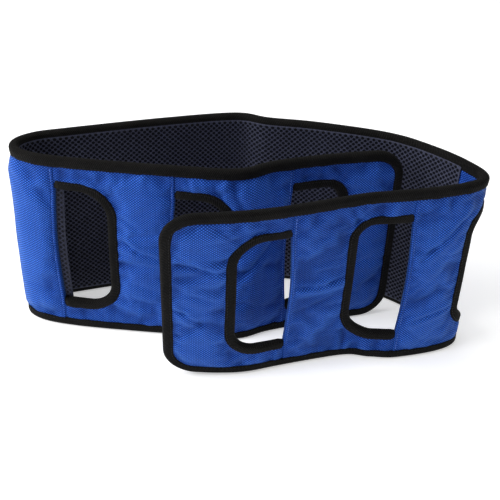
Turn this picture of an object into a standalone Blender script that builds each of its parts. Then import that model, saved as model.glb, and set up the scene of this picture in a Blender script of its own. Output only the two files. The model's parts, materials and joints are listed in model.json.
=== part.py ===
"""Gait belt: a padded belt with a row of hand holes at each end, standing on its long edge as a loop.

Every sewn piece is first made flat, in pattern space, and then wrapped onto the standing belt:
    s  runs along the belt, from end A (the outer flap) to end B (the inner flap)
    n  runs through the thickness, positive on the outside of the loop
    z  runs up, from the lower edge to the upper edge
The belt is made of seven panels joined by sewn seams, which are its hinges:
    a1 - a2 - a3 - centre - b3 - b2 - b1
Each panel but the centre one has a D-shaped hand hole on the side that faces the centre. The hole's
straight side is the hemmed edge of the next panel, and the panel's two arms reach it above and below.
Units are metres.
"""
import math

import bmesh
import bpy
from mathutils import Vector

# ---------------------------------------------------------------- driving dimensions
WIDTH = 0.180             # belt width: its height as it stands
HANDLE_LENGTH = 0.105     # each panel with a hand hole, seam to seam or seam to end
CENTRE_LENGTH = 0.475     # centre panel, seam to seam

COVER = 0.0009            # woven outer cover
FOAM = 0.0030             # foam pad
LINING = 0.0009           # inner cover or mesh
AIR = 0.0003              # clearance between neighbouring layers
TAPE_WALL = 0.0008        # binding tape
TAPE_FACE = 0.0085        # how far the folded tape reaches onto each face
SEAM_GAP = 0.0040         # free cloth at each seam, where the belt folds
CORNER = 0.027            # rounded corners at both ends of the belt

HOLE_HEIGHT = 0.117       # hand hole, inside its binding
HOLE_WIDTH = 0.045        # from the next panel's hem to the curved side
HOLE_CORNER = 0.024       # corners of the curved side
ROUND_SEGMENTS = 5        # facets round each corner

MAX_COLUMN = 0.026        # longest facet along the belt
MAX_COLUMN_LEANING = 0.014
MAX_TURN = math.radians(10)   # most that the belt turns within one facet
ROWS_LEANING = 6          # facets up the height, where the belt leans
UPRIGHT = 0.0005          # a smaller lean than this is none

# Plan of the standing belt's lower edge, from end A to end B: x, y and how far the upper edge
# stands forward of the lower one, towards -Y. A smooth curve runs through the points.
POSTURE = [
    (-0.0690, -0.1885, 0.0290), (-0.0100, -0.1840, 0.0190), (0.0360, -0.1680, 0.0190),
    (0.0900, -0.1510, 0.0140), (0.1150, -0.1520, 0.0060), (0.1400, -0.1510, 0.0010),
    (0.1800, -0.1380, 0.0), (0.1960, -0.1240, 0.0), (0.1900, -0.1060, 0.0),
    (0.1630, -0.0775, 0.0), (0.1230, -0.0520, 0.0), (0.0580, -0.0365, 0.0),
    (0.0120, -0.0315, 0.0), (-0.0200, -0.0245, 0.0), (-0.0870, -0.0430, 0.0),
    (-0.1690, -0.0720, 0.0), (-0.1970, -0.0840, 0.0), (-0.2090, -0.1000, 0.0),
    (-0.1990, -0.1165, 0.0), (-0.1610, -0.1260, 0.0), (-0.0660, -0.1325, 0.0),
    (-0.0120, -0.1355, -0.0030), (0.0200, -0.1210, -0.0060), (0.0750, -0.1005, -0.0040),
    (0.1450, -0.0795, 0.0),
]
END_LIFT = 0.004          # end A's lower corner stands this far off the floor

# ---------------------------------------------------------------- derived dimensions
BODY_THICKNESS = COVER + FOAM + LINING + 2 * AIR
SLOT_THICKNESS = BODY_THICKNESS + 2 * AIR
TAPE_THICKNESS = SLOT_THICKNESS + 2 * TAPE_WALL
EDGE_INSET = TAPE_WALL + AIR          # the layers stop this far inside the tape's outer edge
BEYOND = 0.02                         # how far a cutter runs past what it cuts

SEAMS = [step * HANDLE_LENGTH for step in range(4)]
SEAMS += [SEAMS[3] + CENTRE_LENGTH + step * HANDLE_LENGTH for step in range(4)]
PANELS = ["a1", "a2", "a3", "centre", "b3", "b2", "b1"]
SPAN = {name: (SEAMS[i], SEAMS[i + 1]) for i, name in enumerate(PANELS)}
PARENT = {"a3": "centre", "a2": "a3", "a1": "a2", "b3": "centre", "b2": "b3", "b1": "b2"}
# the layers through the thickness: name, lower n, upper n
OUTER_FACE = BODY_THICKNESS / 2
LAYERS = [
    ("cover", OUTER_FACE - COVER, OUTER_FACE),
    ("pad", OUTER_FACE - COVER - AIR - FOAM, OUTER_FACE - COVER - AIR),
    ("lining", -OUTER_FACE, -OUTER_FACE + LINING),
]


# ---------------------------------------------------------------- scene
def clear_scene():
    for old in list(bpy.data.objects):
        bpy.data.objects.remove(old, do_unlink=True)


def new_collection(name):
    made = bpy.data.collections.new(name)
    bpy.context.scene.collection.children.link(made)
    return made


def new_material(name, colour, roughness):
    made = bpy.data.materials.new(name)
    made.use_nodes = True
    shader = made.node_tree.nodes["Principled BSDF"]
    shader.inputs["Base Color"].default_value = (*colour, 1.0)
    shader.inputs["Roughness"].default_value = roughness
    shader.inputs["Metallic"].default_value = 0.0
    return made


# ---------------------------------------------------------------- the belt's path
def catmull_rom(before, start, end, after, t):
    """Point at t between start and end, on the smooth curve through all four."""
    return 0.5 * (2 * start + (end - before) * t + (2 * before - 5 * start + 4 * end - after) * t ** 2
                  + (3 * start - before - 3 * end + after) * t ** 3)


def sample_path(steps=60):
    """Finely spaced (s, point) pairs, where a point holds x, y and the lean."""
    knots = [Vector(knot) for knot in POSTURE]
    knots = [2 * knots[0] - knots[1]] + knots + [2 * knots[-1] - knots[-2]]
    samples, travelled, last = [], 0.0, None
    for i in range(1, len(knots) - 2):
        for step in range(steps):
            point = catmull_rom(*knots[i - 1:i + 3], step / steps)
            if last is not None:
                travelled += (point - last).xy.length
            samples.append((travelled, point))
            last = point
    return samples


SAMPLES = sample_path()


def path_point(s):
    """x, y and lean at distance s along the belt."""
    low, high = 0, len(SAMPLES) - 1
    while high - low > 1:
        middle = (low + high) // 2
        if SAMPLES[middle][0] <= s:
            low = middle
        else:
            high = middle
    (s0, p0), (s1, p1) = SAMPLES[low], SAMPLES[high]
    return p0.lerp(p1, (s - s0) / (s1 - s0))


def path_heading(s):
    reach = 0.0015
    return (path_point(s + reach) - path_point(s - reach)).xy.normalized()


def lift(s):
    """How far the belt is off the floor: only the outer flap's free end rises."""
    return END_LIFT * max(0.0, 1.0 - s / HANDLE_LENGTH) ** 1.5


def wrap(s, n, z):
    """Pattern point (s, n, z) on the standing belt."""
    at = path_point(s)
    ahead = path_heading(s)
    outward = Vector((ahead.y, -ahead.x))
    x, y = at.xy + n * outward
    return Vector((x, y - at.z * z / WIDTH, z + lift(s)))


def columns():
    """Distances along the belt where its facets meet: every seam, and between them by turn and length."""
    step, shortest = 0.0005, 0.005
    marks = set(SEAMS)
    for start, end in zip(SEAMS, SEAMS[1:]):
        s, last, turn, heading = start, start, 0.0, path_heading(start + step)
        while s < end:
            s += step
            now = path_heading(s)
            turn += heading.angle(now)
            heading = now
            longest = MAX_COLUMN_LEANING if abs(path_point(s).z) > UPRIGHT else MAX_COLUMN
            if (turn > MAX_TURN or s - last > longest) and end - s > shortest:
                marks.add(s)
                last, turn = s, 0.0
    return sorted(marks)


COLUMNS = columns()


# ---------------------------------------------------------------- flat pieces
def slab(s0, s1, z0, z1, n0, n1, radius=0.0, rounded=()):
    """Box from (s0, n0, z0) to (s1, n1, z1), with corners rounded at its "low" or "high" s end."""
    work = bmesh.new()
    bmesh.ops.create_cube(work, size=1.0)
    for vertex in work.verts:
        vertex.co.x = s1 if vertex.co.x > 0 else s0
        vertex.co.y = n1 if vertex.co.y > 0 else n0
        vertex.co.z = z1 if vertex.co.z > 0 else z0
    ends = {"low": s0, "high": s1}
    corners = [edge for edge in work.edges
               if abs(edge.verts[0].co.y - edge.verts[1].co.y) > 1e-6
               and any(abs(edge.verts[0].co.x - ends[end]) < 1e-6 for end in rounded)]
    if corners:
        bmesh.ops.bevel(work, geom=corners, offset=radius, segments=ROUND_SEGMENTS,
                        profile=0.5, affect="EDGES")
    mesh = bpy.data.meshes.new("flat")
    work.to_mesh(mesh)
    work.free()
    return mesh


def cut(mesh, cutters):
    """The mesh less every cutter mesh."""
    body = bpy.data.objects.new("flat_body", mesh)
    bpy.context.scene.collection.objects.link(body)
    helpers = []
    for cutter in cutters:
        helper = bpy.data.objects.new("flat_cutter", cutter)
        bpy.context.scene.collection.objects.link(helper)
        helper.hide_render, helper.display_type = True, "WIRE"
        helpers.append(helper)
        boolean = body.modifiers.new("cut", "BOOLEAN")
        boolean.operation, boolean.solver, boolean.object = "DIFFERENCE", "EXACT", helper
    bpy.context.view_layer.update()
    result = bpy.data.meshes.new_from_object(body.evaluated_get(bpy.context.evaluated_depsgraph_get()))
    for used in [body] + helpers:
        bpy.data.objects.remove(used, do_unlink=True)
    return result


def facet(work, mark, axis):
    """Split the flat mesh at a plane across the axis."""
    point = Vector((0, 0, 0))
    point[axis] = mark
    normal = Vector((0, 0, 0))
    normal[axis] = 1.0
    everything = work.verts[:] + work.edges[:] + work.faces[:]
    bmesh.ops.bisect_plane(work, geom=everything, plane_co=point, plane_no=normal, dist=1e-6)


def wrap_mesh(mesh):
    """Cut the flat mesh into facets that can bend, and lay it on the standing belt."""
    work = bmesh.new()
    work.from_mesh(mesh)
    low = min(vertex.co.x for vertex in work.verts)
    high = max(vertex.co.x for vertex in work.verts)
    for mark in COLUMNS:
        if low + 1e-4 < mark < high - 1e-4:
            facet(work, mark, 0)
    if max(abs(path_point(low).z), abs(path_point(high).z)) > UPRIGHT:
        for row in range(1, ROWS_LEANING):
            facet(work, WIDTH * row / ROWS_LEANING, 2)
    bmesh.ops.remove_doubles(work, verts=work.verts[:], dist=1e-5)
    for vertex in work.verts:
        vertex.co = wrap(*vertex.co)
    # pattern space is left-handed, so the faces are turned over to point out again
    bmesh.ops.reverse_faces(work, faces=work.faces[:])
    bmesh.ops.triangulate(work, faces=work.faces[:])
    work.to_mesh(mesh)
    work.free()


def panel_outline(name, inset, n0, n1):
    """A panel's flat shape, with its edge set in from the tape's outer edge by the inset."""
    s0, s1 = SPAN[name]
    rounded = ()
    if name == "a1":
        s0, s1, rounded = s0 + inset, s1 - SEAM_GAP / 2, ("low",)
    elif name == "b1":
        s0, s1, rounded = s0 + SEAM_GAP / 2, s1 - inset, ("high",)
    else:
        s0, s1 = s0 + SEAM_GAP / 2, s1 - SEAM_GAP / 2
    return slab(s0, s1, inset, WIDTH - inset, n0, n1, CORNER - inset, rounded)


def hole_outline(name, outset, n0, n1):
    """The hand hole's flat shape, grown by the outset and open past the panel's seam edge."""
    s0, s1 = SPAN[name]
    z0, z1 = (WIDTH - HOLE_HEIGHT) / 2 - outset, (WIDTH + HOLE_HEIGHT) / 2 + outset
    radius = HOLE_CORNER + outset
    if name.startswith("a"):
        return slab(s1 - HOLE_WIDTH - outset, s1 + BEYOND, z0, z1, n0, n1, radius, ("low",))
    return slab(s0 - BEYOND, s0 + HOLE_WIDTH + outset, z0, z1, n0, n1, radius, ("high",))


def layer(name, n0, n1):
    """One layer of a panel: cover, pad or lining."""
    flat = panel_outline(name, EDGE_INSET, n0, n1)
    if name == "centre":
        return flat
    return cut(flat, [hole_outline(name, EDGE_INSET, n0 - BEYOND, n1 + BEYOND)])


def edge_tape(name):
    """The folded tape round an end panel's free edges: one U that holds the layers' edges."""
    faces = TAPE_THICKNESS / 2
    slot = SLOT_THICKNESS / 2
    s0, s1 = SPAN[name]
    low, high = (TAPE_FACE, BEYOND) if name == "a1" else (-BEYOND, -TAPE_FACE)
    window = slab(s0 + low, s1 + high, TAPE_FACE, WIDTH - TAPE_FACE, -BEYOND, BEYOND,
                  CORNER - TAPE_FACE, ("low",) if name == "a1" else ("high",))
    low, high = (TAPE_WALL, BEYOND) if name == "a1" else (-BEYOND, -TAPE_WALL)
    groove = slab(s0 + low, s1 + high, TAPE_WALL, WIDTH - TAPE_WALL, -slot, slot,
                  CORNER - TAPE_WALL, ("low",) if name == "a1" else ("high",))
    return cut(panel_outline(name, 0.0, -faces, faces), [window, groove])


def rail_tape(name, upper):
    """The folded tape along one long edge of a panel."""
    faces, slot = TAPE_THICKNESS / 2, SLOT_THICKNESS / 2
    s0, s1 = SPAN[name][0] + SEAM_GAP / 2, SPAN[name][1] - SEAM_GAP / 2
    z0, z1 = (WIDTH - TAPE_FACE, WIDTH) if upper else (0.0, TAPE_FACE)
    groove_z = (z0 - BEYOND, z1 - TAPE_WALL) if upper else (z0 + TAPE_WALL, z1 + BEYOND)
    groove = slab(s0 - BEYOND, s1 + BEYOND, *groove_z, -slot, slot)
    return cut(slab(s0, s1, z0, z1, -faces, faces), [groove])


def hole_tape(name):
    """The folded tape round the three bound sides of a hand hole."""
    faces, slot = TAPE_THICKNESS / 2, SLOT_THICKNESS / 2
    s0, s1 = SPAN[name]
    opening = hole_outline(name, 0.0, -BEYOND, BEYOND)
    past_seam = (s1 - SEAM_GAP / 2, s1 + 2 * BEYOND) if name.startswith("a") else (
        s0 - 2 * BEYOND, s0 + SEAM_GAP / 2)
    trim = slab(*past_seam, -BEYOND, WIDTH + BEYOND, -BEYOND, BEYOND)
    grown = hole_outline(name, TAPE_FACE, -faces, faces)
    # the groove takes everything between the tape's two faces but the wall round the opening
    core = cut(hole_outline(name, TAPE_FACE + BEYOND / 2, -slot, slot),
               [hole_outline(name, TAPE_WALL, -BEYOND, BEYOND)])
    return cut(grown, [opening, core, trim])


# ---------------------------------------------------------------- assembly
def build():
    clear_scene()
    belt = new_collection("gait_belt")
    blue, black = (0.010, 0.085, 0.62), (0.008, 0.008, 0.009)
    colours = {"cover": (blue, 0.55), "pad": ((0.55, 0.55, 0.52), 0.9), "lining": (blue, 0.55),
               "mesh": ((0.012, 0.014, 0.035), 0.8), "tape": (black, 0.75)}
    pieces = []

    for name in PANELS:
        for kind, n0, n1 in LAYERS:
            finish = "mesh" if name == "centre" and kind == "lining" else kind
            node = "centre_mesh_lining" if finish == "mesh" else f"{name}_{kind}"
            pieces.append((node, name, layer(name, n0, n1), finish))
        if name in ("a1", "b1"):
            pieces.append((f"{name}_edge_binding", name, edge_tape(name), "tape"))
        else:
            pieces.append((f"{name}_upper_binding", name, rail_tape(name, True), "tape"))
            pieces.append((f"{name}_lower_binding", name, rail_tape(name, False), "tape"))
        if name != "centre":
            pieces.append((f"{name}_hole_binding", name, hole_tape(name), "tape"))

    for _, _, mesh, _ in pieces:
        wrap_mesh(mesh)
    # the origin is the middle of the belt's plan, on the floor
    points = [vertex.co for _, _, mesh, _ in pieces for vertex in mesh.vertices]
    middle = Vector([(min(p[k] for p in points) + max(p[k] for p in points)) / 2 for k in (0, 1)] + [0.0])

    # each panel hangs from an empty on its seam, whose Z axis is the seam line
    pivots = {}
    for name in ("centre", "a3", "a2", "a1", "b3", "b2", "b1"):
        pivot = bpy.data.objects.new(f"{name}_pivot", None)
        belt.objects.link(pivot)
        pivot.empty_display_size = 0.02
        if name != "centre":
            s0, s1 = SPAN[name]
            seam = s1 if name.startswith("a") else s0
            foot, head = wrap(seam, 0, 0) - middle, wrap(seam, 0, WIDTH) - middle
            pivot.rotation_euler = Vector((0, 0, 1)).rotation_difference(head - foot).to_euler()
            pivot.location = foot
        pivots[name] = pivot
    bpy.context.view_layer.update()
    for name, parent in PARENT.items():
        pivots[name].parent = pivots[parent]
        pivots[name].matrix_parent_inverse = pivots[parent].matrix_world.inverted()
        bpy.context.view_layer.update()

    for node, name, mesh, finish in pieces:
        piece = bpy.data.objects.new(node, mesh)
        belt.objects.link(piece)
        for vertex in mesh.vertices:
            vertex.co = pivots[name].matrix_world.inverted() @ (vertex.co - middle)
        piece.parent = pivots[name]
        mesh.materials.clear()
        mesh.materials.append(new_material(node, *colours[finish]))
        mesh.name = node


build()
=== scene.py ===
"""Looks of the gait belt: quilted woven panels, spacer mesh, folded tape and stitching.

Every piece is shaped flat, in the belt's pattern space, and then wrapped onto the standing belt:
    s  runs along the belt, from end A (the outer flap) to end B (the inner flap)
    n  runs through the thickness, positive on the outside of the loop
    z  runs up, from the lower edge to the upper edge
Units are metres.
"""

import json
import math

import bmesh
import bpy
import numpy as np
from mathutils import Matrix, Vector


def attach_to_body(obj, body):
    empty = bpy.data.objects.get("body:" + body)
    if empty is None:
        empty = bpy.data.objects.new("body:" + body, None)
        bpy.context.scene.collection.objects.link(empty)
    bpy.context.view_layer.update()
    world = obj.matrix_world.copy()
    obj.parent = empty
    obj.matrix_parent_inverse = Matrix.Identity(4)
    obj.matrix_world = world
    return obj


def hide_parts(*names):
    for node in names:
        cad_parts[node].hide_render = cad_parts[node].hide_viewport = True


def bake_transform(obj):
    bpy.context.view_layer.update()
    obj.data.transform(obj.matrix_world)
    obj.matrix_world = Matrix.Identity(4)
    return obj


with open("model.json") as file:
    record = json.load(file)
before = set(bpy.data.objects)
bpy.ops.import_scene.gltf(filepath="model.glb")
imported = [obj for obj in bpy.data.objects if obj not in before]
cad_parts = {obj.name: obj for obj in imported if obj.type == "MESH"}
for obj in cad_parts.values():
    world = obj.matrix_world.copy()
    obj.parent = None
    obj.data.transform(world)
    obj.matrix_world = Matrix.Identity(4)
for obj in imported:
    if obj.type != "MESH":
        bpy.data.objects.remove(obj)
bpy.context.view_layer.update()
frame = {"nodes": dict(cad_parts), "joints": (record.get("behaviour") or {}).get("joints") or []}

MM = 0.001

# ---------------------------------------------------------------- the belt's plan, as in the CAD
WIDTH = 0.180
HANDLE_LENGTH = 0.105
CENTRE_LENGTH = 0.475
CORNER = 0.027
HOLE_HEIGHT = 0.117
HOLE_WIDTH = 0.045
END_LIFT = 0.004
POSTURE = [
    (-0.0690, -0.1885, 0.0290), (-0.0100, -0.1840, 0.0190), (0.0360, -0.1680, 0.0190),
    (0.0900, -0.1510, 0.0140), (0.1150, -0.1520, 0.0060), (0.1400, -0.1510, 0.0010),
    (0.1800, -0.1380, 0.0), (0.1960, -0.1240, 0.0), (0.1900, -0.1060, 0.0),
    (0.1630, -0.0775, 0.0), (0.1230, -0.0520, 0.0), (0.0580, -0.0365, 0.0),
    (0.0120, -0.0315, 0.0), (-0.0200, -0.0245, 0.0), (-0.0870, -0.0430, 0.0),
    (-0.1690, -0.0720, 0.0), (-0.1970, -0.0840, 0.0), (-0.2090, -0.1000, 0.0),
    (-0.1990, -0.1165, 0.0), (-0.1610, -0.1260, 0.0), (-0.0660, -0.1325, 0.0),
    (-0.0120, -0.1355, -0.0030), (0.0200, -0.1210, -0.0060), (0.0750, -0.1005, -0.0040),
    (0.1450, -0.0795, 0.0),
]
SEAMS = [step * HANDLE_LENGTH for step in range(4)]
SEAMS += [SEAMS[3] + CENTRE_LENGTH + step * HANDLE_LENGTH for step in range(4)]
LENGTH = SEAMS[-1]
PANELS = ["a1", "a2", "a3", "centre", "b3", "b2", "b1"]
SPAN = {name: (SEAMS[i], SEAMS[i + 1]) for i, name in enumerate(PANELS)}
NEXT = {"a1": "a2", "a2": "a3", "a3": "centre", "b1": "b2", "b2": "b3", "b3": "centre"}
BODY = {name: f"{name}_panel" for name in PANELS}

# ---------------------------------------------------------------- looks: sizes
FACE = 3.1 * MM           # half thickness of a panel beside its binding
PUFF = 1.0 * MM           # how much more in the middle of a panel
CELL = 2.0 * MM           # cloth grid of the handle panels
CENTRE_CELL = 3.0 * MM
HIDDEN = 3.0 * MM         # the panel runs this far under the tape from its edge
ARM_FACE = 2.0 * MM       # half thickness where an arm runs into the next panel's hem
ARM_TUCK = 2.5 * MM       # how far an arm runs under the hem
FLAP_PULL = (3.4 * MM, 1.2 * MM)      # the outer flap's end is pulled out, and how much less at its top
FLAP_PULL_REACH = 55 * MM
WEAVE_CELL = (1.42 * MM, 1.18 * MM)   # two threads of the nylon, along and up the belt

HEM_ROUND = 2.2 * MM      # the hem's rounded edge
HEM_STITCH = 3.0 * MM     # topstitch, from the hem's edge
HEM_LAP = 0.3 * MM        # how far a hem laps over the arms that run into it
HEM_BOW = 3.0 * MM        # a hem's free edge bows this far away from its hand hole
HEM_BOW_REACH = 22 * MM

TAPE_FACE = 9.0 * MM      # folded tape, on each face
TAPE_HALF = 4.2 * MM      # half thickness of the folded tape
TAPE_EDGE = 3.7 * MM      # half thickness at the tape's inner edge
TAPE_STITCH = 1.8 * MM    # the tape's stitches, from its inner edge
TAPE_STEP = 1.5 * MM      # distance between a tape's rings
TAPE_RIB = 1.7 * MM       # period of the slanted ribs
TAPE_CROSS = 0.9 * MM     # period of the finer ribs across them

MESH_HALF = (2.65 * MM, 2.5 * MM)     # half of a diamond of the spacer mesh, along and up the belt
HOLE_SHARE = (0.60, 0.84)             # a mesh hole's share of its diamond, at corners and at sides
YARN_LOOP = 0.7 * MM                  # the knitted yarn's loops
MESH_TUCK = 5.5 * MM      # the mesh lining shows this far past the centre panel's hems
MESH_BOTTOM = 5.5 * MM    # under the tape, its distance from the belt's long edges
MESH_SPAN = (SPAN["centre"][0] - MESH_TUCK, SPAN["centre"][1] + MESH_TUCK)
# radii of each hand hole's lower and upper corners
HOLE_CORNERS = {"a1": (0.019, 0.025), "a2": (0.024, 0.014), "a3": (0.020, 0.024),
                "b3": (0.020, 0.027), "b2": (0.022, 0.024), "b1": (0.022, 0.014)}


# ---------------------------------------------------------------- wrapping
def run_along(line):
    """Distance of each point of a line from its start."""
    return np.concatenate([[0.0], np.cumsum(np.hypot(*np.diff(line, axis=0).T))])


def sample_path(steps=60):
    """Finely spaced rows of s, x, y and lean along the belt."""
    knots = np.array(POSTURE)
    knots = np.vstack([2 * knots[0] - knots[1], knots, 2 * knots[-1] - knots[-2]])
    t = (np.arange(steps) / steps)[:, None]
    rows = []
    for before, start, end, after in zip(knots, knots[1:], knots[2:], knots[3:]):
        rows.append(0.5 * (2 * start + (end - before) * t
                           + (2 * before - 5 * start + 4 * end - after) * t ** 2
                           + (3 * start - before - 3 * end + after) * t ** 3))
    rows = np.vstack(rows)
    path = np.column_stack([run_along(rows[:, :2]), rows])
    # carried on straight for a little before end A
    before = path[0] - (path[1] - path[0]) / (path[1, 0] - path[0, 0]) * 10 * MM
    return np.vstack([before, path])


PATH = sample_path()


def path_at(s):
    return [np.interp(s, PATH[:, 0], PATH[:, k]) for k in (1, 2, 3)]


def heading_at(s):
    reach = 2.0 * MM
    x0, y0, _ = path_at(s - reach)
    x1, y1, _ = path_at(s + reach)
    size = np.hypot(x1 - x0, y1 - y0)
    return (x1 - x0) / size, (y1 - y0) / size


def seam_joint(name):
    return next(j for j in frame["joints"] if j["child"] == BODY[name])


def plan_middle():
    """Where the row frame's origin lies in the plan's own numbers, read off one seam's hinge."""
    x, y, _ = path_at(SPAN["a3"][1])
    hinge = seam_joint("a3")["pos_m"]
    return float(x) - hinge[0], float(y) - hinge[1]


MIDDLE = plan_middle()


def wrap(points):
    """Pattern points, rows of s, n, z, on the standing belt."""
    s, n, z = np.asarray(points, float).T
    pull = FLAP_PULL[0] - FLAP_PULL[1] * z / WIDTH
    pulled = s - np.exp(-np.clip(s, 0, None) / FLAP_PULL_REACH) * pull
    bow = HEM_BOW * np.sin(math.pi * np.clip((z - WIDTH / 2) / HOLE_HEIGHT + 0.5, 0, 1))
    for name in NEXT:
        seam = to_s(name, length_of(name))
        away = 1 if name[0] == "a" else -1
        pulled = pulled + away * bow * np.exp(-np.abs(s - seam) / HEM_BOW_REACH)
    x, y, lean = path_at(pulled)
    ahead_x, ahead_y = heading_at(pulled)
    lift = END_LIFT * np.clip(1.0 - pulled / HANDLE_LENGTH, 0.0, None) ** 1.5
    return np.column_stack([x + n * ahead_y - MIDDLE[0],
                            y - n * ahead_x - lean * z / WIDTH - MIDDLE[1],
                            z + lift])


# ---------------------------------------------------------------- smooth seeded noise
def ease(t):
    t = np.clip(t, 0.0, 1.0)
    return t * t * (3 - 2 * t)


def noise(u, v, seed):
    """Smooth noise from -1 to 1 with features one unit apart."""
    table = np.random.default_rng(seed).uniform(-1, 1, (64, 64))
    iu, iv = np.floor(u).astype(int), np.floor(v).astype(int)
    fu, fv = ease(u - iu), ease(v - iv)

    def corner(du, dv):
        return table[(iu + du) % 64, (iv + dv) % 64]

    low = corner(0, 0) * (1 - fu) + corner(1, 0) * fu
    high = corner(0, 1) * (1 - fu) + corner(1, 1) * fu
    return low * (1 - fv) + high * fv


# ---------------------------------------------------------------- panel outlines, in the panel's own q
# q runs from the panel's outer end (towards its end of the belt) to its inner end (towards the centre).
def to_s(name, q):
    low, high = SPAN[name]
    return low + q if name[0] in "ac" else high - q


def length_of(name):
    return SPAN[name][1] - SPAN[name][0]


def rounded_end(q, z, q_end, height, corners):
    """Signed distance to a strip that starts at q_end with rounded corners: negative inside."""
    radius = np.where(z < WIDTH / 2, *corners)
    across = np.abs(z - WIDTH / 2) - (height / 2 - radius)
    along = q_end + radius - q
    outside = np.hypot(np.clip(along, 0, None), np.clip(across, 0, None))
    return outside + np.minimum(np.maximum(along, across), 0) - radius


def inside_belt(name, q, z):
    """Distance in from the belt's bound edge."""
    if name in ("a1", "b1"):
        return -rounded_end(q, z, 0.0, WIDTH, (CORNER, CORNER))
    return WIDTH / 2 - np.abs(z - WIDTH / 2)


def outside_hole(name, q, z):
    """Distance out from the hand hole's bound edge."""
    if name == "centre":
        return np.full(np.shape(q), 1.0)
    return rounded_end(q, z, length_of(name) - HOLE_WIDTH, HOLE_HEIGHT, HOLE_CORNERS[name])


def free_cloth(name, q, z):
    """Distance from the nearest tape, over the cloth that shows."""
    return np.minimum(inside_belt(name, q, z), outside_hole(name, q, z)) - TAPE_FACE


# ---------------------------------------------------------------- meshes
def set_pattern(mesh, uv):
    """Pattern coordinates as a UV map, from a pair for each vertex."""
    layer = mesh.uv_layers.new(name="pattern")
    index = np.empty(len(mesh.loops), np.int32)
    mesh.loops.foreach_get("vertex_index", index)
    layer.data.foreach_set("uv", np.asarray(uv, np.float32)[index].ravel())


def add_object(name, data):
    made = bpy.data.objects.new(name, data)
    bpy.context.scene.collection.objects.link(made)
    return made


def new_object(name, points, faces, materials, uv=None, face_material=None):
    """Mesh object from row-frame points; uv holds a pair for each vertex."""
    mesh = bpy.data.meshes.new(name)
    mesh.from_pydata([tuple(p) for p in points], [], [tuple(int(i) for i in f) for f in faces])
    for material in materials:
        mesh.materials.append(material)
    if uv is not None:
        set_pattern(mesh, uv)
    if face_material is not None:
        mesh.polygons.foreach_set("material_index", np.asarray(face_material, np.int32))
    mesh.shade_smooth()
    return add_object(name, mesh)


def tube_faces(rings, count, base=0):
    """Faces of a capped tube whose points come ring by ring."""
    faces = []
    last = base + (rings - 1) * count
    for start in range(base, last, count):
        for k in range(count):
            a, b = start + k, start + (k + 1) % count
            faces.append((a, b, b + count, a + count))
    return faces + [tuple(range(base, base + count))[::-1], tuple(range(last, last + count))]


def face_outward(made):
    work = bmesh.new()
    work.from_mesh(made.data)
    bmesh.ops.recalc_face_normals(work, faces=work.faces[:])
    work.to_mesh(made.data)
    work.free()


def coordinates(mesh):
    flat = np.empty(len(mesh.vertices) * 3, np.float32)
    mesh.vertices.foreach_get("co", flat)
    return flat.reshape(-1, 3).astype(float)


def evaluated_mesh(made):
    graph = bpy.context.evaluated_depsgraph_get()
    return bpy.data.meshes.new_from_object(made.evaluated_get(graph))


def grid_axis(low, high, cell, extra=()):
    """Evenly spaced marks about one cell apart, with some finer marks added."""
    count = max(2, round((high - low) / cell) + 1)
    marks = np.concatenate([np.linspace(low, high, count), extra])
    marks = np.unique(np.round(marks, 6))
    keep = [marks[0]]
    for mark in marks[1:]:
        if mark - keep[-1] > 0.25 * MM:
            keep.append(mark)
    return np.array(keep)


def hem_marks():
    """Fine columns round the hem's edge and its stitch groove."""
    return np.array([0.2, 0.7, 1.4, 2.2, 2.8, 3.4, 4.2]) * MM - HEM_LAP


def panel_grid(name):
    """q and z of the cloth grid, and which of its cells are cloth."""
    length = length_of(name)
    cell = CENTRE_CELL if name == "centre" else CELL
    z = grid_axis(1.5 * MM, WIDTH - 1.5 * MM, cell)
    if name == "centre":
        marks = np.concatenate([hem_marks(), length - hem_marks()])
        q = grid_axis(-HEM_LAP, length + HEM_LAP, cell, marks)
    elif name in ("a1", "b1"):
        q = grid_axis(1.5 * MM, length + ARM_TUCK, cell)
    else:
        q = grid_axis(-HEM_LAP, length + ARM_TUCK, cell, hem_marks())
    middle_q, middle_z = np.meshgrid((q[1:] + q[:-1]) / 2, (z[1:] + z[:-1]) / 2, indexing="ij")
    cloth = (inside_belt(name, middle_q, middle_z) > 1.5 * MM)
    cloth &= outside_hole(name, middle_q, middle_z) > HIDDEN
    return q, z, cloth


def hem_distance(name, q):
    """Distance from the nearest hemmed edge, large where the panel has none."""
    far = np.full(np.shape(q), 1.0)
    if name in ("a1", "b1"):
        return far
    if name == "centre":
        return np.minimum(q, length_of(name) - q) + HEM_LAP
    return q + HEM_LAP


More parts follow.
